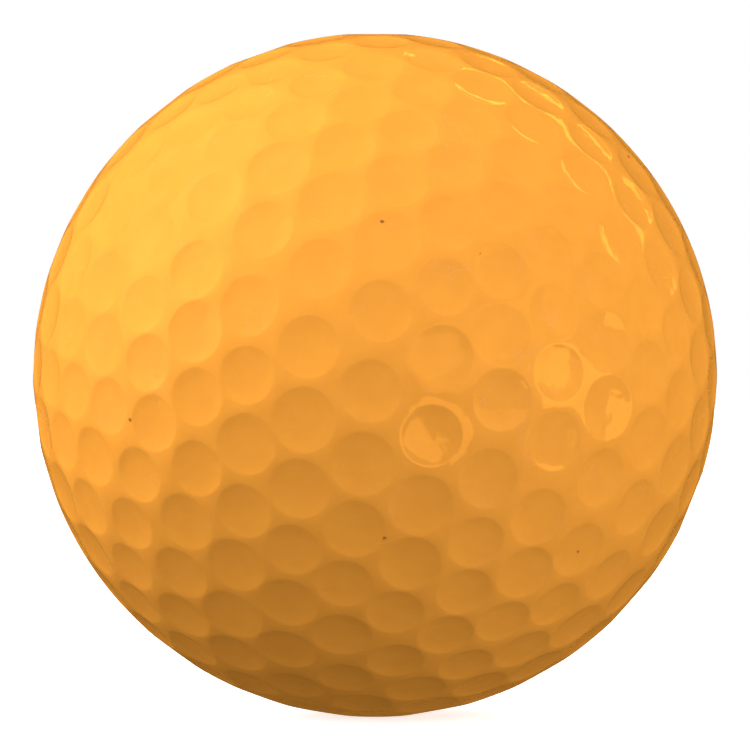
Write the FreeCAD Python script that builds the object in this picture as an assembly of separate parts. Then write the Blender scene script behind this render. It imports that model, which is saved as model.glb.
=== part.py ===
import FreeCAD, Part

import os
from math import asin, cos, degrees, pi, radians, sin, sqrt

# Golf ball: a solid rubber core, a thin hard mantle moulded round it, and a dimpled outer cover.
# The origin is the centre of the ball. +Z is up as the ball rests on a tee. Lengths are in
# millimetres and angles in degrees.

# The ball and its layers
BALL_DIAMETER = 42.67        # 1.680 in, the least that the rules of golf allow
COVER_THICKNESS = 1.5
MANTLE_THICKNESS = 1.2
BALL_RADIUS = BALL_DIAMETER / 2
MANTLE_RADIUS = BALL_RADIUS - COVER_THICKNESS
CORE_RADIUS = MANTLE_RADIUS - MANTLE_THICKNESS

# The dimples are parts of spheres, in three sizes. The depth is from the ball's round surface.
DIMPLE_DIAMETER = {"small": 3.45, "medium": 3.70, "large": 3.90}
DIMPLE_DEPTH = 0.20
CUT_OVERSHOOT = 0.01         # how far a dimple's cutting tool stands out of the ball at its rim
CUT_CROWN = 0.2              # and at its middle

# Each half of the ball has one dimple at its pole and nine rings of dimples round it, in five equal
# sectors. Rings 1 to 6 each add one dimple to a sector, and rings 7 to 9 keep the six of ring 6.
# A ring is at its own latitude where two sectors meet, and rises towards the pole between them.
SECTORS = 5
MOST_IN_A_SECTOR = 6
POLE_SIZE = "small"
RINGS = [
    # latitude, rise, half step on, sizes from the edge of a sector to its middle
    (79.9, 0.0, False, ["small"]),
    (70.1, 3.5, False, ["small", "small"]),
    (60.4, 3.4, False, ["small", "medium"]),
    (50.4, 3.9, False, ["small", "medium", "large"]),
    (40.4, 3.7, False, ["small", "medium", "medium"]),
    (30.6, 4.0, False, ["small", "small", "small", "small"]),
    (21.4, 3.8, True, ["small", "medium", "medium"]),
    (13.9, 1.7, False, ["medium", "small", "large", "large"]),
    (5.6, 0.0, True, ["medium", "medium", "medium"]),
]

# The lower half is the upper half mirrored across the parting line, and then turned.
LOWER_HALF_TURN = 30.0

# How the ball lies: its pole leans from +Z towards this compass direction, counted from +X to +Y,
# and the dimples are turned about the pole.
POLE_LEAN = 36.0
POLE_DIRECTION = 5.3
PATTERN_TURN = -9.4

ORIGIN = FreeCAD.Vector(0, 0, 0)
X_AXIS = FreeCAD.Vector(1, 0, 0)
Y_AXIS = FreeCAD.Vector(0, 1, 0)
Z_AXIS = FreeCAD.Vector(0, 0, 1)


def pattern_rotation():
    """The turn from the dimple pattern's own frame, pole along +Z, to the ball's frame."""
    turn = FreeCAD.Rotation(Z_AXIS, PATTERN_TURN)
    lean = FreeCAD.Rotation(Y_AXIS, POLE_LEAN)
    swing = FreeCAD.Rotation(Z_AXIS, POLE_DIRECTION)
    return swing * lean * turn


def sector_rise(longitude):
    """How far a ring has risen: 0 where two sectors meet, 1 in the middle of a sector."""
    half_sector = 180.0 / SECTORS
    edge = cos(radians(half_sector))
    from_middle = longitude % (2 * half_sector) - half_sector
    return (cos(radians(from_middle)) - edge) / (1 - edge)


def upper_dimples():
    """Latitude, longitude and size of every dimple on the upper half."""
    dimples = [(90.0, 0.0, POLE_SIZE)]
    for number, (latitude, rise, half_step_on, sizes) in enumerate(RINGS, start=1):
        per_sector = min(number, MOST_IN_A_SECTOR)
        start = 0.5 if half_step_on else 0
        for index in range(SECTORS * per_sector):
            steps = index % per_sector + start
            longitude = 360.0 * (index + start) / (SECTORS * per_sector)
            place = int(min(steps, per_sector - steps))
            dimples.append((latitude + rise * sector_rise(longitude), longitude, sizes[place]))
    return dimples


def all_dimples():
    """Both halves, with the lower one mirrored and turned."""
    upper = upper_dimples()
    lower = [(-latitude, longitude + LOWER_HALF_TURN, size) for latitude, longitude, size in upper]
    return upper + lower


def cap_below_rim(diameter):
    """The depth of a dimple below the flat disc inside its rim."""
    return DIMPLE_DEPTH - (BALL_RADIUS - sqrt(BALL_RADIUS ** 2 - (diameter / 2) ** 2))


def dimple_cutter(diameter):
    """The solid that cuts one dimple at the ball's +Z: a ball-shaped cap under a low cone."""
    below_rim = cap_below_rim(diameter)
    cap_radius = ((diameter / 2) ** 2 + below_rim ** 2) / (2 * below_rim)
    bottom = BALL_RADIUS - DIMPLE_DEPTH
    centre = bottom + cap_radius
    outer = BALL_RADIUS + CUT_OVERSHOOT
    rim_height = (outer ** 2 - cap_radius ** 2 + centre ** 2) / (2 * centre)
    rim_radius = sqrt(outer ** 2 - rim_height ** 2)
    half_way = asin(rim_radius / cap_radius) / 2

    low = FreeCAD.Vector(0, 0, bottom)
    middle = FreeCAD.Vector(cap_radius * sin(half_way), 0, centre - cap_radius * cos(half_way))
    rim = FreeCAD.Vector(rim_radius, 0, rim_height)
    crown = FreeCAD.Vector(0, 0, BALL_RADIUS + CUT_CROWN)
    outline = Part.Wire([
        Part.Arc(low, middle, rim).toShape(),
        Part.makeLine(rim, crown),
        Part.makeLine(crown, low),
    ])
    return Part.Face(outline).revolve(ORIGIN, Z_AXIS, 360)


def place_cutter(cutter, latitude, longitude, pattern):
    """A copy of a cutter, moved from the ball's +Z to its place in the pattern."""
    down_from_pole = FreeCAD.Rotation(Y_AXIS, 90 - latitude)
    around = FreeCAD.Rotation(Z_AXIS, longitude)
    placed = cutter.copy()
    placed.Placement = FreeCAD.Placement(ORIGIN, pattern * around * down_from_pole)
    return placed


def round_ball(radius, pattern):
    """A solid ball whose own seam lies along the parting line, clear of every dimple."""
    ball = Part.makeSphere(radius)
    on_parting_line = FreeCAD.Rotation(Y_AXIS, Z_AXIS, X_AXIS, "ZXY")
    ball.Placement = FreeCAD.Placement(ORIGIN, pattern * on_parting_line)
    return ball


def make_core(pattern):
    return round_ball(CORE_RADIUS, pattern)


def make_mantle(pattern):
    return round_ball(MANTLE_RADIUS, pattern).cut(round_ball(CORE_RADIUS, pattern))


def make_cover(pattern):
    cutters = {size: dimple_cutter(diameter) for size, diameter in DIMPLE_DIAMETER.items()}
    placed = [
        place_cutter(cutters[size], latitude, longitude, pattern)
        for latitude, longitude, size in all_dimples()
    ]
    dimpled = round_ball(BALL_RADIUS, pattern).cut(placed)
    return dimpled.cut(round_ball(MANTLE_RADIUS, pattern))


def single_solid(shape, name):
    """The one solid in a shape, checked before it is written."""
    if len(shape.Solids) != 1:
        raise ValueError(f"{name} has {len(shape.Solids)} solids")
    solid = shape.Solids[0]
    if not solid.isValid():
        raise ValueError(f"{name} is not a valid solid")
    return solid


def dimple_volume(diameter):
    """What one dimple takes out of the round ball, worked out from its two caps."""
    below_rim = cap_below_rim(diameter)
    above_rim = DIMPLE_DEPTH - below_rim
    return sum(pi * h * (3 * (diameter / 2) ** 2 + h ** 2) / 6 for h in (below_rim, above_rim))


def print_summary(solids):
    """Print what can be checked against the dimensions above."""
    dimples = all_dimples()
    taken = sum(dimple_volume(DIMPLE_DIAMETER[size]) for _, _, size in dimples)
    whole = 4 / 3 * pi * (BALL_RADIUS ** 3 - MANTLE_RADIUS ** 3)
    print(f"dimples {len(dimples)}, cover should be {whole - taken:.2f} mm3")
    for size, diameter in DIMPLE_DIAMETER.items():
        rim_angle = degrees(asin(diameter / BALL_DIAMETER))
        print(f"{size} dimple: {diameter} mm across, {rim_angle:.2f} degrees from middle to rim")
    for name, solid in solids.items():
        box = solid.BoundBox
        print(f"{name}: {solid.Volume:.2f} mm3, {box.XLength:.2f} x {box.YLength:.2f} x {box.ZLength:.2f}")


def main():
    os.makedirs("parts", exist_ok=True)
    pattern = pattern_rotation()
    makers = {"core": make_core, "mantle": make_mantle, "cover": make_cover}
    solids = {name: single_solid(make(pattern), name) for name, make in makers.items()}
    for name, solid in solids.items():
        solid.exportStep(f"parts/{name}.step")
    print_summary(solids)


main()
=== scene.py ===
from math import cos, pi, radians, sin, tan

import bmesh
import bpy
import numpy as np
from mathutils import Matrix, Vector


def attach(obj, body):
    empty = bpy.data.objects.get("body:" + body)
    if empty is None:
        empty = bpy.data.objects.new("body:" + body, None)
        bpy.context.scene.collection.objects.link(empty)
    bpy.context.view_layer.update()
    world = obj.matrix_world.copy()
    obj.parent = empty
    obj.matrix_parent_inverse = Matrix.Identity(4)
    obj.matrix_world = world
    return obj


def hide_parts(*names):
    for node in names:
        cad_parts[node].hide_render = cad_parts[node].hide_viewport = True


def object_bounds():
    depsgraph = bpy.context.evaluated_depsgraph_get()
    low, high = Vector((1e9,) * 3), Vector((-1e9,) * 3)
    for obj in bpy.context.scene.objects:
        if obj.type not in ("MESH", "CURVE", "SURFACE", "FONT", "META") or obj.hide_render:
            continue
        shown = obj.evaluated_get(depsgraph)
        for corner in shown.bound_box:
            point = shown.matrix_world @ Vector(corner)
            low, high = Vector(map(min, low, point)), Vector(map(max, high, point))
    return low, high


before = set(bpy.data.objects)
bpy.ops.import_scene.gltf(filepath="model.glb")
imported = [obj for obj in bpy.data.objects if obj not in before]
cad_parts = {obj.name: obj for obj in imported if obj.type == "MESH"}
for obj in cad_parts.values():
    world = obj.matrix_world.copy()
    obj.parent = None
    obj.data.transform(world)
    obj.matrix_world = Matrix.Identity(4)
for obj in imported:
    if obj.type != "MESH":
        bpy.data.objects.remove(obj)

# A golf ball in a plain studio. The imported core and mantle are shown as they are, and a dimpled
# skin stands for the cover.

CAD_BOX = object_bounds()
MM = 0.001

# ---------------------------------------------------------------------------------------------
# The dimple pattern, as in the CAD source. Lengths are in millimetres and angles in degrees.
# ---------------------------------------------------------------------------------------------

BALL_DIAMETER = 42.67
BALL_RADIUS = BALL_DIAMETER / 2
DIMPLE_DIAMETER = {"small": 3.45, "medium": 3.70, "large": 3.90}

SECTORS = 5
MOST_IN_A_SECTOR = 6
POLE_SIZE = "small"
RINGS = [
    # latitude, rise, half step on, sizes from the edge of a sector to its middle
    (79.9, 0.0, False, ["small"]),
    (70.1, 3.5, False, ["small", "small"]),
    (60.4, 3.4, False, ["small", "medium"]),
    (50.4, 3.9, False, ["small", "medium", "large"]),
    (40.4, 3.7, False, ["small", "medium", "medium"]),
    (30.6, 4.0, False, ["small", "small", "small", "small"]),
    (21.4, 3.8, True, ["small", "medium", "medium"]),
    (13.9, 1.7, False, ["medium", "small", "large", "large"]),
    (5.6, 0.0, True, ["medium", "medium", "medium"]),
]
LOWER_HALF_TURN = 30.0
POLE_LEAN = 36.0
POLE_DIRECTION = 5.3
PATTERN_TURN = -9.4

# A bowl is a shallow hollow with a steeper lip, and the moulded rims are rounded
HOLLOW_DEPTH = 0.050
LIP_DEPTH = 0.050
LIP_STEEPNESS = 5
BOWL_REACH = 1.3           # rim radii from a bowl's middle to where its surface no longer counts
LEAST_COSINE = 0.2         # keeps directions far from a bowl away from a division by 0
RIM_SOFTNESS = 0.010
NOTHING = -200             # an exponent so low that its power adds nothing
SKIN_INSET = 0.002         # keeps the visible skin inside the CAD cover
DIRECTIONS_AT_A_TIME = 4000

# How finely the skin is meshed
STEPS_PER_CELL_EDGE = 5
RINGS_IN_A_CELL = (1.035, 0.985, 0.93, 0.84, 0.66, 0.35)    # shares of the rim's radius
MOST_REACH = 0.97          # share of the way to a cell's border that a ring may reach
OFF_EVERY_DIMPLE = (0.3, 0.5, 0.8)


def pattern_turn():
    """The turn from the dimple pattern's own frame, pole along +Z, to the ball's frame."""
    turn = Matrix.Rotation(radians(PATTERN_TURN), 3, "Z")
    lean = Matrix.Rotation(radians(POLE_LEAN), 3, "Y")
    swing = Matrix.Rotation(radians(POLE_DIRECTION), 3, "Z")
    return np.array(swing @ lean @ turn)


def sector_rise(longitude):
    """How far a ring has risen: 0 where two sectors meet, 1 in the middle of a sector."""
    half_sector = 180.0 / SECTORS
    edge = cos(radians(half_sector))
    from_middle = longitude % (2 * half_sector) - half_sector
    return (cos(radians(from_middle)) - edge) / (1 - edge)


def upper_dimples():
    """Latitude, longitude and diameter of every dimple on the upper half."""
    dimples = [(90.0, 0.0, DIMPLE_DIAMETER[POLE_SIZE])]
    for number, (latitude, rise, half_step_on, sizes) in enumerate(RINGS, start=1):
        per_sector = min(number, MOST_IN_A_SECTOR)
        start = 0.5 if half_step_on else 0
        for index in range(SECTORS * per_sector):
            steps = index % per_sector + start
            longitude = 360.0 * (index + start) / (SECTORS * per_sector)
            place = int(min(steps, per_sector - steps))
            risen = latitude + rise * sector_rise(longitude)
            dimples.append((risen, longitude, DIMPLE_DIAMETER[sizes[place]]))
    return dimples


def all_dimples():
    """The direction of every dimple from the ball's centre, and its diameter."""
    upper = upper_dimples()
    lower = [(-lat, lon + LOWER_HALF_TURN, diameter) for lat, lon, diameter in upper]
    directions, diameters = [], []
    for lat, lon, diameter in upper + lower:
        lat, lon = radians(lat), radians(lon)
        directions.append((cos(lat) * cos(lon), cos(lat) * sin(lon), sin(lat)))
        diameters.append(diameter)
    return np.array(directions) @ pattern_turn().T, np.array(diameters)


# ---------------------------------------------------------------------------------------------
# The cover's skin: a cell of mesh for each dimple, whose rings follow the rim and the bowl
# ---------------------------------------------------------------------------------------------

def unit(vectors):
    return vectors / np.linalg.norm(vectors, axis=-1, keepdims=True)


def hull_triangles(points):
    """The triangles of the convex hull of points, as indices."""
    mesh = bmesh.new()
    for point in points:
        mesh.verts.new(point)
    mesh.verts.index_update()
    bmesh.ops.convex_hull(mesh, input=mesh.verts)
    bmesh.ops.triangulate(mesh, faces=mesh.faces)
    triangles = [tuple(vertex.index for vertex in face.verts) for face in mesh.faces]
    mesh.free()
    return triangles


def land_corners(centres, rim_angles):
    """Where three cells meet on the land: its direction, and the three dimples round it."""
    lifted = centres / np.cos(rim_angles)[:, None]
    triangles = hull_triangles(lifted)
    a, b, c = (lifted[[triangle[k] for triangle in triangles]] for k in range(3))
    normals = np.cross(b - a, c - a)
    outward = np.sign((normals * a).sum(axis=1))
    return unit(normals * outward[:, None]), triangles


def depth_below_ball(directions, centres, diameters):
    """How far the skin lies below the ball's surface: bowls and land, blended at the rims."""
    rim = diameters / 2
    cosines = directions @ centres.T
    share = np.minimum(BALL_RADIUS * np.sqrt(np.maximum(1 - cosines ** 2, 0)) / rim, BOWL_REACH)
    below_rim = HOLLOW_DEPTH * (1 - share ** 2) + LIP_DEPTH * (1 - share ** LIP_STEEPNESS)
    skin = (np.sqrt(BALL_RADIUS ** 2 - rim ** 2) - below_rim) / np.maximum(cosines, LEAST_COSINE)
    near = (share < BOWL_REACH) & (cosines > 0)
    over = np.where(near, (BALL_RADIUS - skin) / RIM_SOFTNESS, NOTHING)
    return RIM_SOFTNESS * np.log(1 + np.exp(over).sum(axis=1))


def on_skin(directions, centres, diameters):
    """Points of the skin along directions from the ball's centre."""
    points = []
    for start in range(0, len(directions), DIRECTIONS_AT_A_TIME):
        some = directions[start:start + DIRECTIONS_AT_A_TIME]
        depths = SKIN_INSET + depth_below_ball(some, centres, diameters)
        points.append(some * (BALL_RADIUS - depths)[:, None])
    return np.concatenate(points)


class CellMesh:
    """Directions from the ball's centre, and the faces between them."""

    def __init__(self, corners):
        self.directions = list(corners)
        self.faces = []
        self.edges = {}

    def add(self, directions):
        first = len(self.directions)
        self.directions.extend(directions)
        return list(range(first, len(self.directions)))

    def edge(self, start, end):
        """The vertices between two cell corners. The two cells beside an edge share them."""
        if (end, start) in self.edges:
            return self.edges[end, start][::-1]
        share = np.arange(1, STEPS_PER_CELL_EDGE)[:, None] / STEPS_PER_CELL_EDGE
        between = self.directions[start] * (1 - share) + self.directions[end] * share
        self.edges[start, end] = self.add(unit(between))
        return self.edges[start, end]

    def band(self, outer, inner):
        for k in range(len(outer)):
            after = (k + 1) % len(outer)
            self.faces.append((outer[k], outer[after], inner[after], inner[k]))

    def fan(self, ring, middle):
        for k in range(len(ring)):
            self.faces.append((ring[k], ring[(k + 1) % len(ring)], middle))

    def cell(self, centre, rim_angle, corners):
        """The mesh from a cell's border, over the rim and down to the middle of the bowl."""
        border = []
        for here, there in zip(corners, corners[1:] + corners[:1]):
            border += [here, *self.edge(here, there)]
        places = np.array([self.directions[vertex] for vertex in border])
        cosines = places @ centre
        sideways = unit(places - cosines[:, None] * centre)
        reach = np.arccos(cosines) * MOST_REACH
        ring = border
        for share in RINGS_IN_A_CELL:
            angle = np.minimum(rim_angle * share, reach * min(share, 1))[:, None]
            inner = self.add(centre * np.cos(angle) + sideways * np.sin(angle))
            self.band(ring, inner)
            ring = inner
        self.fan(ring, self.add([centre])[0])


def corners_in_order(centre, numbers, corners):
    """Cell corners sorted anticlockwise round the centre, seen from outside."""
    side = unit(np.cross(centre, OFF_EVERY_DIMPLE))
    up = np.cross(centre, side)
    return sorted(numbers, key=lambda n: np.arctan2(corners[n] @ up, corners[n] @ side))


def cover_cells(centres, diameters):
    rim_angles = np.arcsin(diameters / BALL_DIAMETER)
    corners, triangles = land_corners(centres, rim_angles)
    around = [[] for _ in centres]
    for number, triangle in enumerate(triangles):
        for index in triangle:
            around[index].append(number)
    cells = CellMesh(corners)
    for centre, rim_angle, numbers in zip(centres, rim_angles, around):
        cells.cell(centre, rim_angle, corners_in_order(centre, numbers, corners))
    return np.array(cells.directions), cells.faces


def make_cover_skin():
    """The dimpled outside of the cover, as one closed mesh."""
    centres, diameters = all_dimples()
    directions, faces = cover_cells(centres, diameters)
    points = on_skin(directions, centres, diameters) * MM
    mesh = bpy.data.meshes.new("cover_skin")
    mesh.from_pydata(points.tolist(), [], faces)
    mesh.polygons.foreach_set("use_smooth", [True] * len(mesh.polygons))
    skin = bpy.data.objects.new("cover_skin", mesh)
    bpy.context.scene.collection.objects.link(skin)
    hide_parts("cover")
    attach(skin, "root")
    return skin


# ---------------------------------------------------------------------------------------------
# Materials. Their node patterns are measured in millimetres.
# ---------------------------------------------------------------------------------------------

def new_material(name):
    material = bpy.data.materials.new(name)
    material.use_nodes = True
    nodes = material.node_tree.nodes
    return material, nodes, material.node_tree.links, nodes["Principled BSDF"]


def feed(links, socket, value):
    """Links another node's output to a socket, or sets the socket to a fixed value."""
    if isinstance(value, bpy.types.NodeSocket):
        links.new(value, socket)
    else:
        socket.default_value = value


def maths(nodes, links, operation, *values):
    """The result of a Math node. Each value is a number or another node's output."""
    node = nodes.new("ShaderNodeMath")
    node.operation = operation
    for socket, value in zip(node.inputs, values):
        feed(links, socket, value)
    return node.outputs["Value"]


def vector_maths(nodes, links, operation, output, *values):
    """One output of a Vector Math node. Each value is a vector or another node's output."""
    node = nodes.new("ShaderNodeVectorMath")
    node.operation = operation
    for socket, value in zip(node.inputs, values):
        feed(links, socket, value)
    return node.outputs[output]


def remap(nodes, links, value, low, high, to_low, to_high):
    """A value's range from low to high, turned into the range from to_low to to_high."""
    node = nodes.new("ShaderNodeMapRange")
    links.new(value, node.inputs["Value"])
    node.inputs["From Min"].default_value = low
    node.inputs["From Max"].default_value = high
    node.inputs["To Min"].default_value = to_low
    node.inputs["To Max"].default_value = to_high
    return node.outputs["Result"]


def choose(nodes, links, share, a, b):
    """a where share is 0, b where it is 1. Each is a number or another node's output."""
    mix = nodes.new("ShaderNodeMix")
    links.new(share, mix.inputs["Factor"])
    feed(links, mix.inputs["A"], a)
    feed(links, mix.inputs["B"], b)
    return mix.outputs["Result"]


def mix_colour(nodes, links, share, first, second):
    """Mixes two colours. Each is either three numbers or another node's output."""
    node = nodes.new("ShaderNodeMix")
    node.data_type = "RGBA"
    links.new(share, node.inputs["Factor"])
    for socket, colour in ((node.inputs[6], first), (node.inputs[7], second)):
        feed(links, socket, (*colour, 1) if isinstance(colour, tuple) else colour)
    return node.outputs[2]


def in_millimetres(nodes, links, stretch=(1, 1, 1), turn=(0, 0, 0)):
    """The object's own coordinates in millimetres, stretched and turned."""
    mapping = nodes.new("ShaderNodeMapping")
    links.new(nodes.new("ShaderNodeTexCoord").outputs["Object"], mapping.inputs["Vector"])
    mapping.inputs["Scale"].default_value = [share / MM for share in stretch]
    mapping.inputs["Rotation"].default_value = [radians(angle) for angle in turn]
    return mapping.outputs["Vector"]


def noise_node(nodes, links, place, per_mm, detail=2.0, roughness=0.5):
    texture = nodes.new("ShaderNodeTexNoise")
    links.new(place, texture.inputs["Vector"])
    texture.inputs["Scale"].default_value = per_mm
    texture.inputs["Detail"].default_value = detail
    texture.inputs["Roughness"].default_value = roughness
    return texture


def noise(*settings):
    """Smooth noise round 0.5."""
    return noise_node(*settings).outputs["Fac"]


def bump(nodes, links, shader, height, depth):
    """Bump of a given depth in metres where the height goes from 0 to 1."""
    node = nodes.new("ShaderNodeBump")
    node.inputs["Strength"].default_value = 1.0
    node.inputs["Distance"].default_value = depth
    links.new(height, node.inputs["Height"])
    links.new(node.outputs["Normal"], shader.inputs["Normal"])


ORANGE = (1.0, 0.392, 0.049)
COVER_COLOUR = tuple(0.75 * part for part in ORANGE)
DULLER_COLOUR = (0.690, 0.262, 0.031)
MOTTLES_PER_MM = 0.55
COVER_IOR = 1.5
COVER_ROUGHNESS = (0.04, 0.08)
HAZES_PER_MM = 0.8
WAVES_PER_MM = 1.2
WAVE_HEIGHT = 0.020 * MM

SPECK_COLOUR = (0.26, 0.085, 0.018)
SPECK_CELL = 3.0           # mm between the places where a speck may be
SPECK_SHARE = 0.25         # of those places
SPECK_RADIUS = 0.15        # mm
SPECK_CORE = 0.6           # share of the radius that is fully dark
SPECK_WOBBLE = 0.22        # mm by which an edge strays
SPECK_WOBBLES_PER_MM = 7.0

SCUFFS = [
    # scratches per mm along X, Y and Z, turn in degrees, noise from which a patch starts
    ((0.35, 2.2, 2.2), (20, 35, 50), 0.60),
    ((2.2, 0.35, 2.2), (70, 10, 15), 0.62),
]
SCUFF_PATCHES_PER_MM = 0.33
SCRATCH_WIDTH = 0.045      # share of the distance between scratches
SCRATCH_ROUGHNESS = 0.25   # added to the cover's
SCRATCH_DEPTH = 0.12       # share of the wave height


def cover_specks(nodes, links, place):
    """1 in a few tiny dirt specks, else 0: the middles of some Voronoi cells."""
    wobble = noise_node(nodes, links, place, SPECK_WOBBLES_PER_MM).outputs["Color"]
    ragged = vector_maths(nodes, links, "MULTIPLY_ADD", "Vector", wobble, (SPECK_WOBBLE,) * 3, place)
    cells = nodes.new("ShaderNodeTexVoronoi")
    links.new(ragged, cells.inputs["Vector"])
    cells.inputs["Scale"].default_value = 1 / SPECK_CELL
    radius = SPECK_RADIUS / SPECK_CELL
    dot = remap(nodes, links, cells.outputs["Distance"], SPECK_CORE * radius, radius, 1, 0)
    chance = nodes.new("ShaderNodeSeparateColor")
    links.new(cells.outputs["Color"], chance.inputs["Color"])
    chosen = remap(nodes, links, chance.outputs["Red"], SPECK_SHARE, SPECK_SHARE + 0.01, 1, 0)
    return maths(nodes, links, "MULTIPLY", dot, chosen)


def scuffs(nodes, links, stretch, turn, patch_start):
    """1 along fine scratches that run one way, in a few patches, else 0."""
    cells = nodes.new("ShaderNodeTexVoronoi")
    cells.feature = "DISTANCE_TO_EDGE"
    links.new(in_millimetres(nodes, links, stretch, turn), cells.inputs["Vector"])
    cells.inputs["Scale"].default_value = 1.0
    line = remap(nodes, links, cells.outputs["Distance"], 0.0, SCRATCH_WIDTH, 1, 0)
    patches = noise(nodes, links, in_millimetres(nodes, links, turn=turn), SCUFF_PATCHES_PER_MM)
    patch = remap(nodes, links, patches, patch_start, patch_start + 0.05, 0, 1)
    return maths(nodes, links, "MULTIPLY", line, patch)


def cover_colour(nodes, links, place):
    clouds = noise(nodes, links, place, MOTTLES_PER_MM, 5, 0.65)
    mottle = remap(nodes, links, clouds, 0.35, 0.75, 0, 0.75)
    mottled = mix_colour(nodes, links, mottle, COVER_COLOUR, DULLER_COLOUR)
    return mix_colour(nodes, links, cover_specks(nodes, links, place), mottled, SPECK_COLOUR)


def cover_material():
    """Glossy orange ionomer: faintly mottled and wavy, with a few specks and scuffs from play."""
    material, nodes, links, shader = new_material("cover_ionomer")
    shader.inputs["IOR"].default_value = COVER_IOR
    place = in_millimetres(nodes, links)
    links.new(cover_colour(nodes, links, place), shader.inputs["Base Color"])
    scratches = maths(nodes, links, "ADD", *(scuffs(nodes, links, *scuff) for scuff in SCUFFS))
    haze = remap(nodes, links, noise(nodes, links, place, HAZES_PER_MM, 3), 0.3, 0.7, *COVER_ROUGHNESS)
    worn = remap(nodes, links, scratches, 0, 1, 0, SCRATCH_ROUGHNESS)
    links.new(maths(nodes, links, "ADD", haze, worn), shader.inputs["Roughness"])
    waves = noise(nodes, links, place, WAVES_PER_MM, 1)
    pressed = remap(nodes, links, scratches, 0, 1, 0, -SCRATCH_DEPTH)
    bump(nodes, links, shader, maths(nodes, links, "ADD", waves, pressed), WAVE_HEIGHT)
    return material


RUBBER_COLOURS = ((0.13, 0.26, 0.38), (0.20, 0.34, 0.46))
RUBBER_ROUGHNESS = (0.55, 0.80)
FILLER_COLOUR = (0.55, 0.60, 0.62)
FILLER_GRAINS_PER_MM = 6.0


def core_material():
    """Matt moulded rubber: cloudy blue with fine grains of filler."""
    material, nodes, links, shader = new_material("core_rubber")
    place = in_millimetres(nodes, links)
    clouds = remap(nodes, links, noise(nodes, links, place, 0.25, 4), 0.3, 0.7, 0, 1)
    cloudy = mix_colour(nodes, links, clouds, *RUBBER_COLOURS)
    grains = remap(nodes, links, noise(nodes, links, place, FILLER_GRAINS_PER_MM, 2), 0.66, 0.72, 0, 0.6)
    links.new(mix_colour(nodes, links, grains, cloudy, FILLER_COLOUR), shader.inputs["Base Color"])
    grip = noise(nodes, links, place, 3.0, 3)
    links.new(remap(nodes, links, grip, 0.3, 0.7, *RUBBER_ROUGHNESS), shader.inputs["Roughness"])
    bump(nodes, links, shader, grip, 0.03 * MM)
    return material


MILKY_COLOURS = ((0.88, 0.86, 0.80), (0.80, 0.77, 0.69))
MILKY_ROUGHNESS = (0.32, 0.45)


def mantle_material():
    """Smooth moulded ionomer: milky off-white with faint flow clouds."""
    material, nodes, links, shader = new_material("mantle_ionomer")
    place = in_millimetres(nodes, links, (1, 1, 0.4), (25, 10, 0))
    flow = remap(nodes, links, noise(nodes, links, place, 0.20, 5, 0.6), 0.3, 0.7, 0, 1)
    links.new(mix_colour(nodes, links, flow, *MILKY_COLOURS), shader.inputs["Base Color"])
    links.new(remap(nodes, links, flow, 0, 1, *MILKY_ROUGHNESS), shader.inputs["Roughness"])
    bump(nodes, links, shader, noise(nodes, links, place, 1.5, 2), 0.008 * MM)
    return material


def finish_node(name, material):
    """Gives a CAD node that is carried over its material."""
    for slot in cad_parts[name].material_slots:
        slot.material = material


# ---------------------------------------------------------------------------------------------
# Studio: floor, lights, background and camera
# ---------------------------------------------------------------------------------------------

# The reflections and the soft light are lit apart: reflections take the gold of the studio's
# reflectors, and the soft light is white.
PANEL_DISTANCE = 0.4
REFLECTORS = [
    # name, bearing round the line of sight from the right, half its spread,
    # angles from the camera's side to its front and back edges, brightness
    ("key", 150, 22.5, 64, 97, 1.75),
    ("key_top", 115, 13, 78, 118, 0.58),
    ("key_low", 188, 18, 67, 100, 0.58),
    ("key_rear", 164, 30, 95, 116, 0.10),
    ("right", -3, 8, 57.5, 82, 4.0),
    ("front_low", 323, 12, 18.5, 36.5, 3.8),
    ("front_right", 11, 19, 15, 66, 1.45),
    ("spot_low", 337, 4, 56, 60, 1.6),
]
SOFT_BOXES = [
    # the same for the panels that light softly and aren't mirrored
    ("soft_key", 151, 40, 60, 110, 4.85),
    ("soft_rear", 151, 40, 100, 160, 2.9),
]
RIM_STRIPS = [
    # name, place, length and height, brightness
    ("rim_strip", (0.42, 0.50, 0.525), (0.60, 0.048), 5.0),
    ("rim_strip_end", (0.85, 0.50, 0.465), (0.255, 0.12), 4.8),
]
MIRRORED_GLOWS = [
    # direction, sharpness, brightness
    ((-0.6, -0.6, 0.5), 3, 1.66),
    ((0, 1, 0.2), 1, 0.35),
]
SOFT_GLOWS = [
    # direction, sharpness, brightness
    ((0, 1, 0), 1, 0.60),
    ((0, -0.7, 0.7), 3, 0.37),
    ((0.7, -0.7, 0), 3, 2.30),
    ((-0.6, -0.6, 0.5), 3, 0.45),
    ((0.7, 0, 0.7), 3, 1.29),
]
FLOOR_HALF_WIDTH = 3.0
FLOOR_COLOUR = (0.90, 0.90, 0.89)
FLOOR_GRAIN_SHADE = 0.97
FLOOR_GLOW = (0.70, 1.0)       # under the ball and far from it
FLOOR_GLOW_REACH = 0.30


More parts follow.
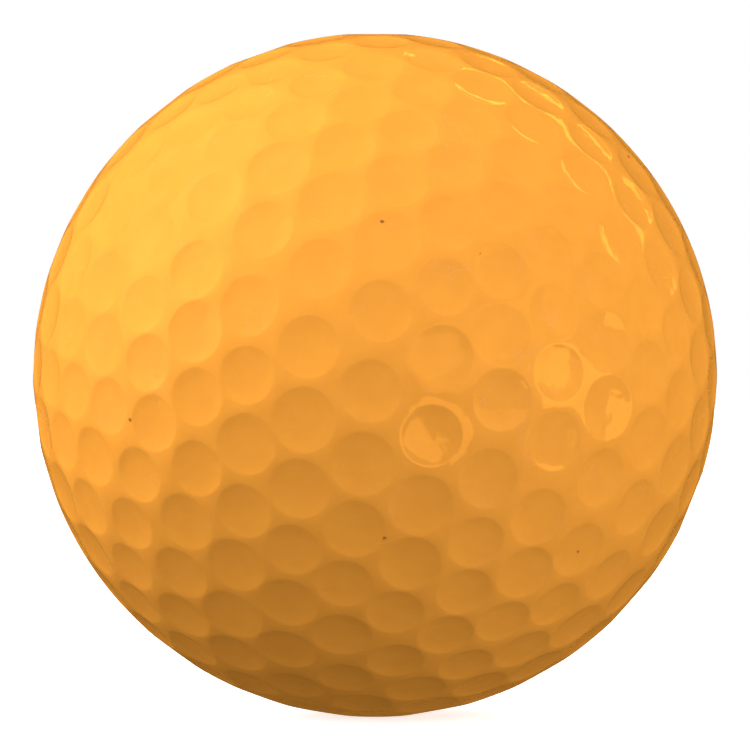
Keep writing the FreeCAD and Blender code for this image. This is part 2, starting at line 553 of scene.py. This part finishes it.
def floor_material():
    """Pale matt paper with a faint grain. Its glow grows with distance, so it has no horizon."""
    material, nodes, links, shader = new_material("floor_paper")
    place = in_millimetres(nodes, links)
    grain = noise(nodes, links, place, 0.9, 4)
    shaded = tuple(FLOOR_GRAIN_SHADE * part for part in FLOOR_COLOUR)
    links.new(mix_colour(nodes, links, grain, FLOOR_COLOUR, shaded), shader.inputs["Base Color"])
    shader.inputs["Roughness"].default_value = 0.9
    shader.inputs["Specular IOR Level"].default_value = 0
    from_middle = nodes.new("ShaderNodeTexCoord").outputs["Object"]
    distance = vector_maths(nodes, links, "LENGTH", "Value", from_middle)
    glow = remap(nodes, links, distance, 0.0, FLOOR_GLOW_REACH, *FLOOR_GLOW)
    shader.inputs["Emission Color"].default_value = (1, 1, 1, 1)
    links.new(glow, shader.inputs["Emission Strength"])
    return material


def make_floor():
    mesh = bpy.data.meshes.new("floor")
    low = CAD_BOX[0][2]
    w = FLOOR_HALF_WIDTH
    mesh.from_pydata([(-w, -w, low), (w, -w, low), (w, w, low), (-w, w, low)], [], [(0, 1, 2, 3)])
    floor = bpy.data.objects.new("floor", mesh)
    bpy.context.scene.collection.objects.link(floor)
    floor.data.materials.append(floor_material())
    floor.visible_glossy = False
    floor.visible_diffuse = False
    return floor


def area_light(name, place, turn, size, brightness):
    """A rectangular light of even brightness. It shines along its own -Z."""
    data = bpy.data.lights.new(name, "AREA")
    data.shape = "RECTANGLE"
    data.size, data.size_y = size
    data.energy = brightness * data.size * data.size_y * pi
    light = bpy.data.objects.new(name, data)
    light.matrix_world = Matrix.LocRotScale(place, turn, None)
    bpy.context.scene.collection.objects.link(light)
    return light


def make_panel(name, bearing, spread, front, back, brightness):
    """A soft box parallel to the line of sight, like a stave of a barrel round the ball."""
    near = -PANEL_DISTANCE / tan(radians(front))
    far = -PANEL_DISTANCE / tan(radians(back))
    outward = Vector((cos(radians(bearing)), 0, sin(radians(bearing))))
    along = Vector((0, 1, 0))
    turn = Matrix((along, outward.cross(along), outward)).transposed()
    place = outward * PANEL_DISTANCE + along * (near + far) / 2
    size = (far - near, 2 * PANEL_DISTANCE * tan(radians(spread)))
    return area_light(name, place, turn.to_quaternion(), size, brightness)


def make_strip(name, place, size, brightness):
    """A long low strip behind the ball, which draws thin bright arcs along the far rims."""
    outward = Vector((0, place[1], place[2]))
    return area_light(name, place, outward.to_track_quat("Z", "Y"), size, brightness)


def only_mirrored(light):
    light.data.color = ORANGE
    light.visible_diffuse = False


def only_soft(light):
    light.visible_glossy = False


def glow_strength(nodes, links, direction, glows):
    """The sum of soft glows round the ball, each brightest along its own direction."""
    total = 0.0
    for axis, sharpness, brightness in glows:
        axis = Vector(axis).normalized()
        along = vector_maths(nodes, links, "DOT_PRODUCT", "Value", direction, axis)
        facing = maths(nodes, links, "MAXIMUM", along, 0.0)
        glow = maths(nodes, links, "POWER", facing, sharpness)
        total = maths(nodes, links, "MULTIPLY_ADD", glow, brightness, total)
    return total


def make_world():
    """Soft glows that light the ball, in front of a plain white backdrop."""
    world = bpy.data.worlds.new("studio")
    bpy.context.scene.world = world
    world.use_nodes = True
    # Its light depends on the kind of ray, so it can't be sampled as one lamp
    world.cycles.sampling_method = "NONE"
    nodes, links = world.node_tree.nodes, world.node_tree.links
    background = nodes["Background"]
    direction = nodes.new("ShaderNodeTexCoord").outputs["Generated"]
    rays = nodes.new("ShaderNodeLightPath")
    mirrored = glow_strength(nodes, links, direction, MIRRORED_GLOWS)
    soft = glow_strength(nodes, links, direction, SOFT_GLOWS)
    light = choose(nodes, links, rays.outputs["Is Glossy Ray"], soft, mirrored)
    strength = choose(nodes, links, rays.outputs["Is Camera Ray"], light, 1.0)
    links.new(strength, background.inputs["Strength"])
    colour = mix_colour(nodes, links, rays.outputs["Is Glossy Ray"], (1.0, 1.0, 1.0), ORANGE)
    links.new(colour, background.inputs["Color"])


CAMERA_DISTANCE = 0.288
LENS = 221.0               # mm
SENSOR_WIDTH = 36.0        # mm


def make_camera():
    data = bpy.data.cameras.new("camera")
    data.sensor_width = SENSOR_WIDTH
    data.lens = LENS
    data.clip_start = 0.01
    camera = bpy.data.objects.new("camera", data)
    camera.location = (0, -CAMERA_DISTANCE, 0)
    camera.rotation_euler = (pi / 2, 0, 0)
    bpy.context.scene.collection.objects.link(camera)
    bpy.context.scene.camera = camera
    return camera


cover = make_cover_skin()
cover.data.materials.append(cover_material())
finish_node("core", core_material())
finish_node("mantle", mantle_material())
make_floor()
make_camera()
for panel in REFLECTORS:
    only_mirrored(make_panel(*panel))
for strip in RIM_STRIPS:
    only_mirrored(make_strip(*strip))
for panel in SOFT_BOXES:
    only_soft(make_panel(*panel))
make_world()
bpy.context.scene.view_settings.view_transform = "Standard"
